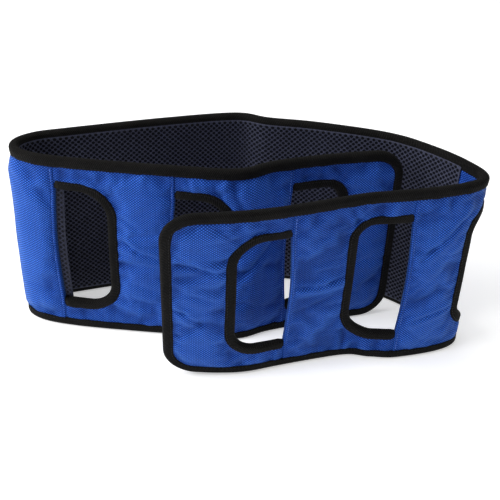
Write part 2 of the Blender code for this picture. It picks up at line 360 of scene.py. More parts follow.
# ---------------------------------------------------------------- cloth
def slack_covers():
    """Simulates each panel's two faces as slack cloth sewn down at its edges, blown up by the foam.

    Returns the grid's heights over the flat face, for each panel and side.
    """
    flat = {(name, side): np.zeros([len(axis) for axis in panel_grid(name)[:2]])
            for name in PANELS for side in ("outer", "inner")}
    sheets = {}
    for row, (name, side) in enumerate(flat):
        q, z, cloth = panel_grid(name)
        grid_q, grid_z = np.meshgrid(q, z, indexing="ij")
        ripple = noise(grid_q / (11 * MM), grid_z / (11 * MM), 40 + row) * 0.15 * MM
        points = np.column_stack([grid_q.ravel(), grid_z.ravel() + row * 0.25, ripple.ravel()])
        i, j = np.nonzero(cloth)
        corner = i * len(z) + j
        faces = np.column_stack([corner, corner + len(z), corner + len(z) + 1, corner + 1])
        sheet = new_object("slack_sheet", points, faces, [])
        sewn = (free_cloth(name, grid_q, grid_z) < 0.5 * MM)
        sewn |= hem_distance(name, grid_q) < HEM_STITCH + 0.4 * MM
        sewn |= grid_q > length_of(name) - 2 * MM if name != "centre" else False
        group = sheet.vertex_groups.new(name="sewn")
        group.add(np.nonzero(sewn.ravel())[0].tolist(), 1.0, "ADD")
        cloth_modifier = sheet.modifiers.new("cloth", "CLOTH")
        settings = cloth_modifier.settings
        settings.quality = 4
        settings.mass = 0.25
        settings.tension_stiffness = settings.compression_stiffness = 12
        settings.shear_stiffness = 4
        settings.bending_stiffness = 0.15
        settings.vertex_group_mass = "sewn"
        settings.use_pressure = True
        settings.uniform_pressure_force = 3.0
        settings.shrink_min = -0.035
        settings.effector_weights.gravity = 0.0
        sheets[name, side] = sheet
    scene = bpy.context.scene
    for step in range(1, 26):
        scene.frame_set(step)
    for key, sheet in sheets.items():
        moved = coordinates(evaluated_mesh(sheet))
        rise = np.clip(moved[:, 2], -1.2 * MM, 2.6 * MM)
        flat[key] = rise.reshape(flat[key].shape)
    for sheet in sheets.values():
        bpy.data.objects.remove(sheet, do_unlink=True)
    scene.frame_set(1)
    return flat


# creases pressed into each outer cover, in millimetres: both ends' s and z, width and depth (a ridge's is
# less than 0)
CREASES = {
    "a1": [(2, 132, 27, 127, 3.6, 1.7), (27, 127, 50, 119, 4.0, 1.2), (9, 103, 42, 89, 4.5, 0.9),
           (0, 82, 18, 75, 3.2, 1.7), (18, 75, 32, 62, 3.4, 1.3), (4, 52, 16, 47, 3.0, 0.9),
           (42, 168, 60, 150, 4.0, 1.0)],
    "a2": [(106, 93, 132, 92, 3.0, 1.5), (132, 92, 160, 97, 3.0, 2.1), (112, 64, 150, 78, 4.0, 0.7),
           (153, 174, 162, 156, 3.6, 1.7), (162, 156, 168, 141, 3.6, 1.4), (163, 0, 162, 33, 3.6, 1.5),
           (124, 168, 134, 132, 6.0, 0.6)],
    "a3": [(222, 111, 240, 129, 4.0, 1.7), (240, 129, 262, 151, 4.0, 1.7), (218, 86, 262, 127, 5.5, -1.1),
           (224, 44, 246, 51, 3.2, 1.7), (246, 51, 268, 55, 3.2, 1.9), (217, 156, 238, 167, 4.5, 0.8)],
    "b3": [(844, 106, 863, 93, 3.4, 1.8), (863, 93, 884, 86, 4.4, 1.3), (852, 132, 876, 152, 6.0, -0.9),
           (850, 60, 884, 48, 6.0, 0.7)],
    "b2": [(906, 172, 910, 150, 4.0, 1.1), (928, 172, 931, 154, 4.0, 1.1), (945, 166, 958, 118, 5.0, 1.3),
           (966, 170, 972, 130, 5.0, -1.0), (942, 58, 986, 106, 5.0, 1.5)],
    "b1": [(1034, 171, 1050, 155, 3.6, 1.3), (1052, 60, 1090, 74, 6.0, 0.8)],
    "centre": [(768, 164, 786, 128, 7.0, 0.9), (766, 30, 786, 52, 7.0, 0.8), (548, 172, 556, 6, 8.0, 1.5),
               (556, 122, 612, 86, 8.0, 1.0), (400, 56, 448, 88, 8.0, 1.0), (500, 136, 508, 44, 9.0, -1.1),
               (676, 142, 700, 52, 8.0, 0.9)],
}
# soft folds that run across a panel: direction in degrees from the belt's length, spacing and height
DRAG = {
    "a1": (-12, 15 * MM, 0.55 * MM), "a2": (12, 17 * MM, 0.45 * MM), "a3": (47, 9.5 * MM, 0.75 * MM),
    "centre": (62, 26 * MM, 1.15 * MM), "b3": (-32, 15 * MM, 0.5 * MM), "b2": (76, 12 * MM, 0.6 * MM),
    "b1": (60, 15 * MM, 0.5 * MM),
}


def drag_height(name, s, z, seed):
    """Height of a panel's soft folds: long along their direction, uneven across it."""
    angle, spacing, height = DRAG[name]
    turn = math.radians(angle)
    along = s * math.cos(turn) + z * math.sin(turn)
    across = z * math.cos(turn) - s * math.sin(turn)
    fold = noise(across / spacing * 1.6, along / (6 * spacing), seed)
    return height * fold * (0.6 + 0.4 * noise(s / (40 * MM), z / (40 * MM), seed + 1))


def crease_height(name, s, z):
    """Height of every crease of a panel's outer cover."""
    height = np.zeros(np.shape(s))
    for row in CREASES[name]:
        s0, z0, s1, z1, width, depth = np.array(row) * MM
        start, run = np.array([s0, z0]), np.array([s1 - s0, z1 - z0])
        along = ((s - start[0]) * run[0] + (z - start[1]) * run[1]) / (run @ run)
        held = np.clip(along, 0.0, 1.0)
        away = np.hypot(s - start[0] - held * run[0], z - start[1] - held * run[1])
        fade = 1 - 0.5 * np.abs(2 * held - 1)
        if depth > 0:
            height -= 1.5 * depth * np.exp(-away / (0.42 * width)) * fade
            height += 0.75 * depth * np.exp(-((away - 1.3 * width) / (0.9 * width)) ** 2) * fade
        else:
            height -= 1.2 * depth * np.exp(-(away / width) ** 2) * fade
    return height


def arm_share(name, q):
    """How much a point of an arm belongs to its flattened end, which runs into the next hem."""
    return ease(1 - (length_of(name) - q - 1 * MM) / (6 * MM))


def smooth_height(name, q, z):
    """Half thickness of the evenly filled panel, without folds."""
    filled = ease(free_cloth(name, q, z) / (16 * MM))
    filled = filled * ease((hem_distance(name, q) - HEM_STITCH) / (10 * MM))
    return FACE + PUFF * filled


def pucker_height(name, q, z, free, seed):
    """Small gathers that fan out from the tape, square to it, and fade within a finger's width."""
    along_belt = noise(q / (5.5 * MM), z / (40 * MM), seed)
    up_side = noise(q / (40 * MM), z / (5.5 * MM), seed + 2)
    edge = inside_belt(name, q, z)
    hole = outside_hole(name, q, z)
    length = length_of(name)
    beside_end = (q < CORNER) & (name in ("a1", "b1")) & (np.abs(z - WIDTH / 2) < WIDTH / 2 - CORNER)
    beside_hole = (q < length - HOLE_WIDTH) & (hole < edge) & (np.abs(z - WIDTH / 2) < HOLE_HEIGHT / 2)
    sideways = beside_end | beside_hole
    gather = np.where(sideways, up_side, along_belt)
    return 1.9 * MM * gather * np.exp(-np.clip(free, 0, None) / (7 * MM)) * ease(free / (1.2 * MM))


def face_height(name, side, q, z, slack):
    """Half thickness of a panel at its pattern points."""
    seed = 100 + 10 * PANELS.index(name) + (side == "inner")
    s = to_s(name, q)
    free = free_cloth(name, q, z)
    hem = hem_distance(name, q)
    shown = ease(free / (3 * MM)) * ease((hem - HEM_STITCH) / (3 * MM))
    height = smooth_height(name, q, z)
    height += slack * ease(free / (1.5 * MM)) * 0.8
    height += pucker_height(name, q, z, free, seed) * ease(hem / (6 * MM))
    height += 0.5 * MM * noise(s / (26 * MM), z / (30 * MM), seed + 5) * shown
    height += drag_height(name, s, z, seed + 30) * shown
    if side == "outer":
        height += crease_height(name, s, z) * shown
    # the folded hem stands proud, its topstitch pulls a groove, and its edge is rounded
    height += 0.35 * MM * (1 - ease((hem - HEM_STITCH) / (2 * MM)))
    height -= 0.75 * MM * np.exp(-((hem - HEM_STITCH) / (0.8 * MM)) ** 2)
    rounding = 1 - np.clip(1 - hem / HEM_ROUND, 0, 1) ** 2
    height *= np.sqrt(rounding)
    if name != "centre":
        to_hem = length_of(name) - q
        arm = arm_share(name, q)
        height = height * (1 - arm) + (ARM_FACE + 0.5 * MM * ease(to_hem / (2.5 * MM))) * arm
    return height


def panel_body(name, slack):
    """A panel's closed quilted body, with its hole, in pattern space: points and faces."""
    q, z, cloth = panel_grid(name)
    grid_q, grid_z = np.meshgrid(q, z, indexing="ij")
    s = to_s(name, grid_q)
    outer = face_height(name, "outer", grid_q, grid_z, slack[name, "outer"])
    inner = face_height(name, "inner", grid_q, grid_z, slack[name, "inner"])
    if name == "centre":
        inner = np.minimum(inner, FACE - 0.2 * MM)
    points = np.vstack([np.column_stack([s.ravel(), outer.ravel(), grid_z.ravel()]),
                        np.column_stack([s.ravel(), -inner.ravel(), grid_z.ravel()])])
    half = grid_q.size
    i, j = np.nonzero(cloth)
    corner = i * len(z) + j
    quads = np.column_stack([corner, corner + len(z), corner + len(z) + 1, corner + 1])
    faces = list(quads) + list(quads[:, ::-1] + half)
    edges = {}
    for quad in quads:
        for a, b in zip(quad, np.roll(quad, -1)):
            edges[int(a), int(b)] = True
    faces += [(b, a, a + half, b + half) for a, b in edges if (b, a) not in edges]
    if name[0] not in "ac":
        faces = [tuple(face)[::-1] for face in faces]
    return points, faces


def smooth_and_wrap(name, points, faces, material):
    """Welds, subdivides and wraps a panel; its UV is the pattern, its relief the folds' height."""
    rough = new_object("rough_panel", points, faces, [material])
    work = bmesh.new()
    work.from_mesh(rough.data)
    bmesh.ops.remove_doubles(work, verts=work.verts[:], dist=0.02 * MM)
    loose = [vertex for vertex in work.verts if not vertex.link_faces]
    bmesh.ops.delete(work, geom=loose, context="VERTS")
    work.to_mesh(rough.data)
    work.free()
    smoothing = rough.modifiers.new("smooth", "SUBSURF")
    smoothing.levels = smoothing.render_levels = 1
    mesh = evaluated_mesh(rough)
    bpy.data.objects.remove(rough, do_unlink=True)
    flat = coordinates(mesh)
    set_pattern(mesh, flat[:, [0, 2]])
    q = np.abs(flat[:, 0] - to_s(name, 0.0))
    folds = np.abs(flat[:, 1]) - smooth_height(name, q, flat[:, 2])
    if name != "centre":
        folds = folds * (1 - arm_share(name, q))
    # the relief also drives painted shade and highlight in the nylon's colour
    relief = mesh.attributes.new("relief", "FLOAT", "POINT")
    relief.data.foreach_set("value", np.clip(folds / (2 * MM), -1, 1).astype(np.float32))
    mesh.vertices.foreach_set("co", wrap(flat).astype(np.float32).ravel())
    mesh.flip_normals()
    mesh.shade_smooth()
    mesh.update()
    mesh.name = f"{name}_quilted_panel"
    return add_object(mesh.name, mesh)


def attach(piece, name, bends=True):
    """Parents a piece to its panel's body; a bending piece of a handle panel only has its transform baked.
    """
    if name in NEXT and bends:
        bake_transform(piece)
    else:
        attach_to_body(piece, BODY[name])


# ---------------------------------------------------------------- swept tape
def tape_profile():
    """Cross-section of folded tape: (distance in from the edge, n), round the outside and back inside."""
    turn = [(TAPE_HALF * (1 - math.sin(a)) * 0.75, TAPE_HALF * math.cos(a))
            for a in np.linspace(0, math.pi, 9)]
    start = [(TAPE_FACE, TAPE_EDGE - 1.3 * MM), (TAPE_FACE, TAPE_EDGE - 0.35 * MM),
             (TAPE_FACE - 0.4 * MM, TAPE_EDGE), (TAPE_FACE * 0.72, TAPE_HALF - 0.25 * MM),
             (TAPE_FACE * 0.5, TAPE_HALF - 0.05 * MM)]
    end = [(u, -n) for u, n in reversed(start)]
    return np.array(start + turn + end)


def sweep(line, inward, profile, seed, tucked):
    """Pattern points and faces of a profile swept along a line in (s, z), with small puckers.

    A tucked tape thins towards both its ends, where it runs under a hem.
    """
    run = run_along(line)
    ends = np.minimum(run, run[-1] - run)
    rings = []
    for k, (at, into) in enumerate(zip(line, inward)):
        key = at[0] + at[1] * 0.7
        wobble = noise(np.array([key / (6 * MM), key / (13 * MM)]), np.array([0.5, 7.5]), seed)
        face = profile[:, 0] * (1 + 0.07 * wobble[0] * (profile[:, 0] > 5 * MM))
        thick = profile[:, 1] * (1 + 0.06 * wobble[1])
        if tucked:
            thick = thick * (0.5 + 0.5 * ease((ends[k] - 2.0 * MM) / (5 * MM)))
        flat = at[None, :] + into[None, :] * face[:, None]
        rings.append(np.column_stack([flat[:, 0], thick, flat[:, 1]]))
    count = len(profile)
    points = np.vstack(rings)
    around = run_along(profile)
    uv = np.column_stack([np.repeat(run, count), np.tile(around, len(line))])
    return points, tube_faces(len(line), count), uv


def round_path(corners, radii, step=TAPE_STEP):
    """Evenly spaced points along straight runs joined by arcs, through corners in (q, z)."""
    pieces = [np.array([corners[0]])]
    for before, at, after, radius in zip(corners, corners[1:], corners[2:], radii):
        before, at, after = (np.array(p, float) for p in (before, at, after))
        back, on = (before - at) / np.linalg.norm(before - at), (after - at) / np.linalg.norm(after - at)
        centre = at + (back + on) * radius
        start, end = at + back * radius - centre, at + on * radius - centre
        turn = np.linspace(0, math.pi / 2, max(6, int(radius * 1.6 / step)))[:, None]
        pieces.append(centre + start * np.cos(turn) + end * np.sin(turn))
    pieces.append(np.array([corners[-1]]))
    rough = np.vstack(pieces)
    run = run_along(rough)
    even = np.linspace(0, run[-1], max(2, int(run[-1] / step)) + 1)
    return np.column_stack([np.interp(even, run, rough[:, k]) for k in (0, 1)])


def inward_of(line, sign):
    """Unit vectors to one side of a line."""
    along = np.gradient(line, axis=0)
    along /= np.linalg.norm(along, axis=1)[:, None]
    return sign * np.column_stack([-along[:, 1], along[:, 0]])


def make_tape(name, line, sign, material, seed, tucked=False):
    """A tape along a line in (s, z), whose panel lies on the side that sign gives."""
    points, faces, uv = sweep(line, inward_of(line, sign), tape_profile(), seed, tucked)
    if sign > 0:
        faces = [face[::-1] for face in faces]
    made = new_object(name, wrap(points), faces, [material], uv)
    made.data.set_sharp_from_angle(angle=math.radians(50))
    return made


# ---------------------------------------------------------------- stitches
def stitch_row(line, heights, pitch=3.3 * MM, length=2.5 * MM, radius=0.33 * MM):
    """Separate stitches along a pattern line of (s, z) points; heights gives n for each."""
    run = run_along(line)
    points, faces = [], []
    sides, shape = 6, [(-0.5, 0.25), (-0.38, 0.85), (0.0, 1.0), (0.38, 0.85), (0.5, 0.25)]
    for start in np.arange(pitch / 2, run[-1] - pitch / 2, pitch):
        base = len(points)
        for share, swell in shape:
            at = start + share * length
            s, z = (np.interp(at, run, line[:, k]) for k in (0, 1))
            ahead = [np.interp(at + 0.2 * MM, run, line[:, k]) - v for k, v in ((0, s), (1, z))]
            size = math.hypot(*ahead)
            side_s, side_z = (-ahead[1] / size, ahead[0] / size) if size > 0 else (0.0, 1.0)
            n = np.interp(at, run, heights)
            facing = 1 if n > 0 else -1
            sink = 0.35 * radius * (2 * abs(share)) ** 2
            for k in range(sides):
                a = 2 * math.pi * k / sides
                out = radius * swell * math.sin(a) - sink
                across = radius * swell * math.cos(a)
                points.append((s + side_s * across, n + out * facing, z + side_z * across))
        faces += tube_faces(len(shape), sides, base)
    return points, faces


def make_stitches(name, rows, material):
    """One piece of thread from several rows of (line, heights)."""
    points, faces = [], []
    for line, heights in rows:
        more_points, more_faces = stitch_row(line, heights)
        faces += [tuple(i + len(points) for i in face) for face in more_faces]
        points += more_points
    made = new_object(name, wrap(points), faces, [material], uv=np.array(points)[:, [0, 2]])
    face_outward(made)
    return made


# ---------------------------------------------------------------- materials
def new_material(name, colour, roughness, sheen=0.0, specular=0.5):
    made = bpy.data.materials.new(name)
    made.use_nodes = True
    shader = made.node_tree.nodes["Principled BSDF"]
    shader.inputs["Base Color"].default_value = (*colour, 1.0)
    shader.inputs["Roughness"].default_value = roughness
    shader.inputs["Sheen Weight"].default_value = sheen
    shader.inputs["Sheen Roughness"].default_value = 0.4
    shader.inputs["Specular IOR Level"].default_value = specular
    return made, shader, Nodes(made.node_tree)


class Nodes:
    """Short calls for building a node tree."""

    def __init__(self, tree):
        self.tree = tree

    def add(self, kind, **settings):
        node = self.tree.nodes.new(kind)
        for key, value in settings.items():
            setattr(node, key, value)
        return node

    def link(self, value, socket):
        if isinstance(value, bpy.types.NodeSocket):
            self.tree.links.new(value, socket)
        else:
            socket.default_value = value

    def math(self, operation, a, b=0.0):
        node = self.add("ShaderNodeMath", operation=operation)
        for value, socket in zip((a, b), node.inputs):
            self.link(value, socket)
        return node.outputs[0]

    def plus(self, a, b):
        return self.math("ADD", a, b)

    def minus(self, a, b):
        return self.math("SUBTRACT", a, b)

    def times(self, a, b):
        return self.math("MULTIPLY", a, b)

    def wave(self, along, period):
        return self.math("SINE", self.times(along, 2 * math.pi / period))

    def noise(self, vector, scale, detail=2.0):
        node = self.add("ShaderNodeTexNoise")
        self.link(vector, node.inputs["Vector"])
        node.inputs["Scale"].default_value = scale
        node.inputs["Detail"].default_value = detail
        return node.outputs[0]

    def stretched(self, vector, along_s, along_z):
        node = self.add("ShaderNodeMapping")
        self.link(vector, node.inputs["Vector"])
        node.inputs["Scale"].default_value = (along_s, along_z, 1.0)
        return node.outputs[0]

    def ramp(self, factor, stops):
        node = self.add("ShaderNodeValToRGB")
        self.link(factor, node.inputs[0])
        elements = node.color_ramp.elements
        while len(elements) < len(stops):
            elements.new(0.5)
        for element, (place, colour) in zip(elements, stops):
            element.position = place
            element.color = (*colour, 1.0)
        return node.outputs[0]

    def tinted(self, a, b):
        """One colour multiplied by another."""
        node = self.add("ShaderNodeMix", data_type="RGBA", blend_type="MULTIPLY")
        node.inputs[0].default_value = 1.0
        self.link(a, node.inputs[6])
        self.link(b, node.inputs[7])
        return node.outputs[2]

    def bump(self, height, distance, shader):
        node = self.add("ShaderNodeBump")
        self.link(height, node.inputs["Height"])
        node.inputs["Distance"].default_value = distance
        node.inputs["Strength"].default_value = 1.0
        self.tree.links.new(node.outputs[0], shader.inputs["Normal"])

    def pattern(self):
        """The s and z pattern coordinates, in metres, and the vector that holds them."""
        uv = self.add("ShaderNodeUVMap", uv_map="pattern")
        split = self.add("ShaderNodeSeparateXYZ")
        self.tree.links.new(uv.outputs[0], split.inputs[0])
        return split.outputs[0], split.outputs[1], uv.outputs[0]


def basket_weave(nodes, u, v):
    """A two-by-two basket weave, u and v counting its cells.

    Returns its height, from 0 in the gaps to 1 on the crowns, and 1 where the warp is on top.
    """
    part_u, part_v = nodes.math("FRACT", u), nodes.math("FRACT", v)
    odd = nodes.math("FLOORED_MODULO", nodes.plus(nodes.math("FLOOR", u), nodes.math("FLOOR", v)), 2.0)
    warp_on_top = nodes.math("LESS_THAN", odd, 0.5)
    crown = nodes.math("POWER", nodes.times(nodes.wave(part_u, 2.0), nodes.wave(part_v, 2.0)), 0.5)
    strand_u = nodes.math("ABSOLUTE", nodes.wave(part_u, 1.0))
    strand_v = nodes.math("ABSOLUTE", nodes.wave(part_v, 1.0))
    strand = nodes.plus(strand_v, nodes.times(nodes.minus(strand_u, strand_v), warp_on_top))
    height = nodes.times(crown, nodes.plus(0.7, nodes.times(strand, 0.3)))
    return height, warp_on_top


def nylon_material(name, low, middle, high):
    """Blue nylon oxford: thread by thread colour with painted highlights on the crowns and painted shade in
    the gaps, soft gloss on the crowns, faint rub marks at random, painted shade in the folds' hollows and
    painted highlights on their ridges.
    """
    made, shader, nodes = new_material(name, middle, 0.45, sheen=0.32, specular=0.07)
    s, z, vector = nodes.pattern()
    shader.inputs["Sheen Roughness"].default_value = 0.3
    shader.inputs["Sheen Tint"].default_value = (0.2, 0.56, 1.0, 1.0)
    drift = nodes.times(nodes.minus(nodes.noise(vector, 45.0), 0.5), 0.8)
    u = nodes.plus(nodes.math("DIVIDE", s, WEAVE_CELL[0]), drift)
    v = nodes.plus(nodes.math("DIVIDE", z, WEAVE_CELL[1]), drift)
    height, warp_on_top = basket_weave(nodes, u, v)
    # painted highlight on the crowns and painted shade in the gaps: the colour follows the weave's height,
    # and warp cells are painted lighter than weft cells
    shade = nodes.plus(nodes.times(height, 0.5), nodes.times(warp_on_top, 0.5))
    colour = nodes.ramp(shade, [(0.0, low), (0.5, middle), (1.0, high)])
    thread_tone = nodes.plus(nodes.noise(nodes.stretched(vector, 1 / WEAVE_CELL[0], 25.0), 1.0),
                             nodes.noise(nodes.stretched(vector, 25.0, 1 / WEAVE_CELL[1]), 1.0))
    thread_tone = nodes.ramp(nodes.times(thread_tone, 0.5),
                             [(0.36, (0.86, 0.88, 0.91)), (0.64, (1.14, 1.12, 1.09))])
    # painted shade and highlight: the folds' relief darkens the colour in their hollows and lightens it,
    # paler, on their ridges and puckers
    relief = nodes.add("ShaderNodeAttribute", attribute_name="relief").outputs["Fac"]
    relief = nodes.plus(nodes.times(relief, 0.5), 0.5)
    rub_wear_and_painted_fold_shading = nodes.ramp(relief, [(0.12, (0.52, 0.56, 0.63)), (0.42, (0.90, 0.92, 0.94)),
                                 (0.55, (1.0, 1.0, 1.0)), (0.85, (1.6, 1.42, 1.28))])
    colour = nodes.tinted(colour, rub_wear_and_painted_fold_shading)
    worn = nodes.ramp(nodes.noise(vector, 22.0, detail=3.0),
                      [(0.3, (0.86, 0.88, 0.92)), (0.7, (1.12, 1.1, 1.06))])
    colour = nodes.tinted(nodes.tinted(colour, worn), thread_tone)
    nodes.link(colour, shader.inputs["Base Color"])
    rough = nodes.plus(0.36, nodes.times(nodes.minus(1.0, height), 0.35))
    nodes.link(rough, shader.inputs["Roughness"])
    nodes.bump(height, 0.3 * MM, shader)
    return made


def tape_material():
    """Black folded binding: fine slanted ribs with painted highlights on their crowns and painted shade
    between them, dull, greyer where it is worn.
    """
    made, shader, nodes = new_material("binding_tape", (0.004, 0.004, 0.0042), 0.75, 0.02, 0.05)
    s, z, vector = nodes.pattern()
    rib = nodes.wave(nodes.plus(s, nodes.times(z, 0.5)), TAPE_RIB)
    cross = nodes.wave(z, TAPE_CROSS)
    height = nodes.plus(nodes.times(rib, 0.35), nodes.times(cross, 0.3))
    height = nodes.plus(height, nodes.noise(vector, 700.0))
    # painted highlight and shade: the colour follows the ribs' height, lighter on their crowns, darker
    # between them
    colour = nodes.ramp(nodes.times(nodes.plus(height, 0.4), 0.65),
                        [(0.05, (0.0005, 0.0005, 0.0005)), (0.6, (0.0030, 0.0029, 0.0030)),
                         (1.0, (0.026, 0.025, 0.024))])
    rub_wear_and_painted_fold_shading = nodes.ramp(nodes.noise(vector, 45.0, detail=4.0),
                        [(0.35, (0.8, 0.8, 0.8)), (0.75, (1.5, 1.48, 1.45))])
    nodes.link(nodes.tinted(colour, rub_wear_and_painted_fold_shading), shader.inputs["Base Color"])
    rough = nodes.plus(0.62, nodes.times(nodes.noise(vector, 300.0), 0.25))
    nodes.link(rough, shader.inputs["Roughness"])
    nodes.bump(height, 0.3 * MM, shader)
    return made


def yarn_material():
    """Navy-black knitted spacer mesh, with the loops of its yarn: painted highlights on their crests and
    painted shade between them.
    """
    made, shader, nodes = new_material("spacer_mesh", (0.02, 0.023, 0.045), 0.6, sheen=0.08, specular=0.3)
    s, z, vector = nodes.pattern()
    loops, counter = [nodes.wave(nodes.math(kind, s, z), YARN_LOOP) for kind in ("ADD", "SUBTRACT")]
    height = nodes.times(nodes.plus(loops, counter), 0.25)
    # painted highlight and shade: the colour follows the loops' height, lighter on their crests
    colour = nodes.ramp(nodes.plus(height, nodes.noise(vector, 500.0)),
                        [(0.2, (0.012, 0.014, 0.027)), (0.6, (0.040, 0.045, 0.082)),
                         (1.0, (0.11, 0.12, 0.20))])
    nodes.link(colour, shader.inputs["Base Color"])
    nodes.bump(height, 0.15 * MM, shader)
    return made


def mesh_back_material(low, bottom):
    """The mesh's flat underside, which shows past the hems: the same holes, as dark diamonds of painted
    shade.
    """
    made, shader, nodes = new_material("mesh_underside", (0.012, 0.013, 0.024), 0.7, 0.03, 0.2)
    s, z, vector = nodes.pattern()
    i = nodes.math("DIVIDE", nodes.minus(s, low), MESH_HALF[0])
    j = nodes.math("DIVIDE", nodes.minus(z, bottom), MESH_HALF[1])
    shares = [nodes.math("FRACT", nodes.times(nodes.plus(nodes.math(kind, i, j), 1.0), 0.5))
              for kind in ("ADD", "SUBTRACT")]
    offsets = [nodes.math("ABSOLUTE", nodes.minus(share, 0.5)) for share in shares]
    edge = nodes.plus(nodes.math("MAXIMUM", *offsets), nodes.times(nodes.noise(vector, 900.0), 0.06))
    # painted shade: the holes are painted as near-black diamonds on the flat sheet
    colour = nodes.ramp(edge, [(0.24, (0.0015, 0.0016, 0.003)), (0.36, (0.016, 0.018, 0.034)),
                               (0.5, (0.045, 0.05, 0.088))])
    nodes.link(colour, shader.inputs["Base Color"])
    nodes.bump(edge, 0.8 * MM, shader)
    return made


def pit_painted_shade_material():
    """The inside of the spacer mesh's holes, painted far darker than the yarn as painted shade."""
    made, shader, nodes = new_material("mesh_hole_painted_shade", (0.002, 0.002, 0.004), 0.9, specular=0.1)
    _, _, vector = nodes.pattern()
    colour = nodes.ramp(nodes.noise(vector, 1500.0),
                        [(0.3, (0.0016, 0.0017, 0.0032)), (0.8, (0.007, 0.0075, 0.014))])
    nodes.link(colour, shader.inputs["Base Color"])
    return made


def thread_material(name, dark, light):
    """Twisted sewing thread, with painted shade in the twist's grooves and painted highlights on its plies.
    """
    made, shader, nodes = new_material(name, light, 0.5, sheen=0.02, specular=0.25)
    s, z, _ = nodes.pattern()
    twist = nodes.wave(nodes.plus(s, z), 0.5 * MM)
    # painted highlight and shade: the colour follows the twist's height
    colour = nodes.ramp(nodes.times(nodes.plus(twist, 1.0), 0.5), [(0.1, dark), (0.8, light)])
    nodes.link(colour, shader.inputs["Base Color"])
    nodes.bump(twist, 0.05 * MM, shader)
    return made


# ---------------------------------------------------------------- mesh lining
def mesh_lining(materials):
    """Spacer mesh over the centre panel's inside: a closed sheet of yarn ridges round diamond-set holes."""
    low, high = MESH_SPAN
    bottom, top = MESH_BOTTOM, WIDTH - MESH_BOTTOM
    wide, tall = [2 * round(size / half / 2) for size, half in zip((high - low, top - bottom), MESH_HALF)]
    ridge, lip, deep, back = FACE + 1.3 * MM, FACE + 1.05 * MM, FACE + 0.3 * MM, FACE - 0.8 * MM
    points, faces, kinds, known = [], [], [], {}

    def vertex(i, j, n):
        key = (round(i * 1000), round(j * 1000), round(n * 1e6))
        if key not in known:
            known[key] = len(points)
            points.append((low + (high - low) * i / wide, -n, bottom + (top - bottom) * j / tall))
        return known[key]

    def add(face, kind):
        faces.append(tuple(face))
        kinds.append(kind)

    def knit(i, j):
        """A corner where four ridges cross dips a little; between crossings a ridge is highest."""
        crossing = float(i).is_integer()
        return vertex(i, j, ridge - (0.12 * MM if crossing else 0.0))

    around = [(1, 0), (0.5, 0.5), (0, 1), (-0.5, 0.5), (-1, 0), (-0.5, -0.5), (0, -1), (0.5, -0.5)]
    hole = [(di * HOLE_SHARE[k % 2], dj * HOLE_SHARE[k % 2]) for k, (di, dj) in enumerate(around)]
    for i in range(wide + 1):
        for j in range(tall + 1):
            if (i + j) % 2 == 0:
                continue
            shown = [k for k, (di, dj) in enumerate(around)
                     if 0 <= i + di <= wide and 0 <= j + dj <= tall]
            if len(shown) == 8:
                outer = [knit(i + di, j + dj) for di, dj in around]
                inner = [vertex(i + di, j + dj, lip) for di, dj in hole]
                middle = vertex(i, j, deep)
                for k in range(8):
                    add((outer[k], outer[(k + 1) % 8], inner[(k + 1) % 8], inner[k]), 0)
                    # the hole's inner faces take the painted shade material
                    add((inner[k], inner[(k + 1) % 8], middle), 1)
            else:
                # a border cell is half a diamond: start after the gap in the ring
                first = next(k for k in shown if (k - 1) % 8 not in shown)
                add([knit(i + around[(first + k) % 8][0], j + around[(first + k) % 8][1])
                     for k in range(len(shown))], 0)
            corners = [around[k] for k in (6, 4, 2, 0) if k in shown]
            add([vertex(i + di, j + dj, back) for di, dj in corners], 2)
    directed = {(a, b) for face in faces for a, b in zip(face, face[1:] + face[:1])}
    fronts = [(a, b) for a, b in directed if (b, a) not in directed and -points[a][1] > lip]
    for a, b in fronts:
        under = [known[round((points[k][0] - low) / (high - low) * wide * 1000),
                       round((points[k][2] - bottom) / (top - bottom) * tall * 1000),
                       round(back * 1e6)] for k in (a, b)]
        add((b, a, *under), 0)
    flat = np.array(points)
    made = new_object("centre_mesh_lining_cloth", wrap(flat), faces, materials,
                      uv=flat[:, [0, 2]], face_material=kinds)
    face_outward(made)
    return made


def mesh_hems(material):
    """The mesh's turned ends: a narrow flat fold up each end of the lining."""
    made = []
    half_width, half_thick = 0.8 * MM, 0.55 * MM
    z = np.linspace(TAPE_FACE - 3 * MM, WIDTH - TAPE_FACE + 3 * MM, 90)
    turn = np.linspace(0, 2 * math.pi, 12, endpoint=False)
    for name, s in zip(("a3", "b3"), MESH_SPAN):
        points = []
        for height in z:
            swell = 1 + 0.12 * float(noise(np.array([height / (9 * MM)]), np.array([3.5]), 71)[0])
            for angle in turn:
                points.append((s + half_width * math.cos(angle) * swell,
                               -(FACE + 1.15 * MM) + half_thick * math.sin(angle), height))
        faces = tube_faces(len(z), len(turn))
        flat = np.array(points)
        fold = new_object(f"centre_mesh_fold_{name}", wrap(flat), faces, [material], uv=flat[:, [0, 2]])
        face_outward(fold)
        made.append(fold)
    return made


# ---------------------------------------------------------------- assembly
def make_panels(slack, nylon):
    for name in PANELS:
        points, faces = panel_body(name, slack)
        piece = smooth_and_wrap(name, points, faces, nylon)
        layers = ("cover", "pad") if name == "centre" else ("cover", "pad", "lining")
        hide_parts(*(f"{name}_{layer}" for layer in layers))
        attach(piece, name)


def edge_line(name, q0, q1, z, step=TAPE_STEP):
    """Straight line along a panel's upper or lower edge, in (s, z)."""
    q = np.linspace(q0, q1, round((q1 - q0) / step) + 1)
    return np.column_stack([to_s(name, q), np.full(len(q), z)])


